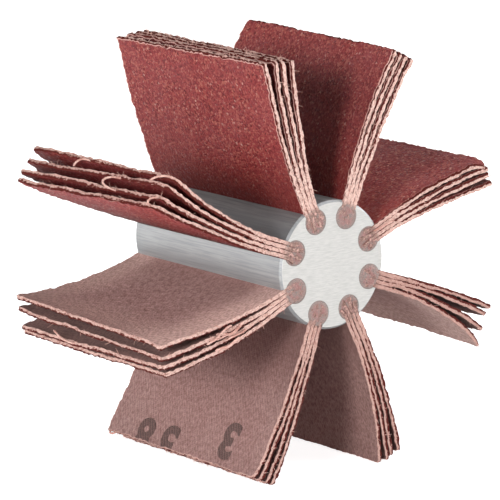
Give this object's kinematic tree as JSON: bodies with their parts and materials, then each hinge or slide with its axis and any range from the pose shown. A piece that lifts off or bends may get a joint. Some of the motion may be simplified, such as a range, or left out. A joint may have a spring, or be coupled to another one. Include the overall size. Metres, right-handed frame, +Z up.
{
  "type": "flap bore polisher",
  "caption": "Abrasive wheel for bores: bundles of grit cloth flaps held by their roots in keyhole slots round a solid aluminium hub, with a tapped mandrel hole at the rear.",
  "frame": {"origin": "mouth of the tapped mandrel hole, in the middle of the hub's rear face", "axes": "+Y along the wheel's axis, out of the mandrel hole, so the plain front face looks along -Y; +Z up as the wheel stands on two of its bundles"},
  "size_m": [0.0653, 0.038, 0.065],
  "materials": {
    "hub_aluminium": "drawn bar with a faced end",
    "grit_cloth": "red-brown aluminium oxide grit on one side, pinkish woven cotton on the other",
    "slot_resin": "cured grey-brown resin"
  },
  "bodies": {
    "root": {"hub": "hub_aluminium", "flap_1_1": "grit_cloth", "flap_1_2": "grit_cloth", "flap_1_3": "grit_cloth", "flap_1_4": "grit_cloth", "resin_bead_1": "slot_resin", "flap_2_1": "grit_cloth", "flap_2_2": "grit_cloth", "flap_2_3": "grit_cloth", "flap_2_4": "grit_cloth", "resin_bead_2": "slot_resin", "flap_3_1": "grit_cloth", "flap_3_2": "grit_cloth", "flap_3_3": "grit_cloth", "flap_3_4": "grit_cloth", "resin_bead_3": "slot_resin", "flap_4_1": "grit_cloth", "flap_4_2": "grit_cloth", "flap_4_3": "grit_cloth", "flap_4_4": "grit_cloth", "resin_bead_4": "slot_resin", "flap_5_1": "grit_cloth", "flap_5_2": "grit_cloth", "flap_5_3": "grit_cloth", "flap_5_4": "grit_cloth", "resin_bead_5": "slot_resin", "flap_6_1": "grit_cloth", "flap_6_2": "grit_cloth", "flap_6_3": "grit_cloth", "flap_6_4": "grit_cloth", "resin_bead_6": "slot_resin", "flap_7_1": "grit_cloth", "flap_7_2": "grit_cloth", "flap_7_3": "grit_cloth", "flap_7_4": "grit_cloth", "resin_bead_7": "slot_resin", "flap_8_1": "grit_cloth", "flap_8_2": "grit_cloth", "flap_8_3": "grit_cloth", "flap_8_4": "grit_cloth", "resin_bead_8": "slot_resin"}
  },
  "joints": []
}
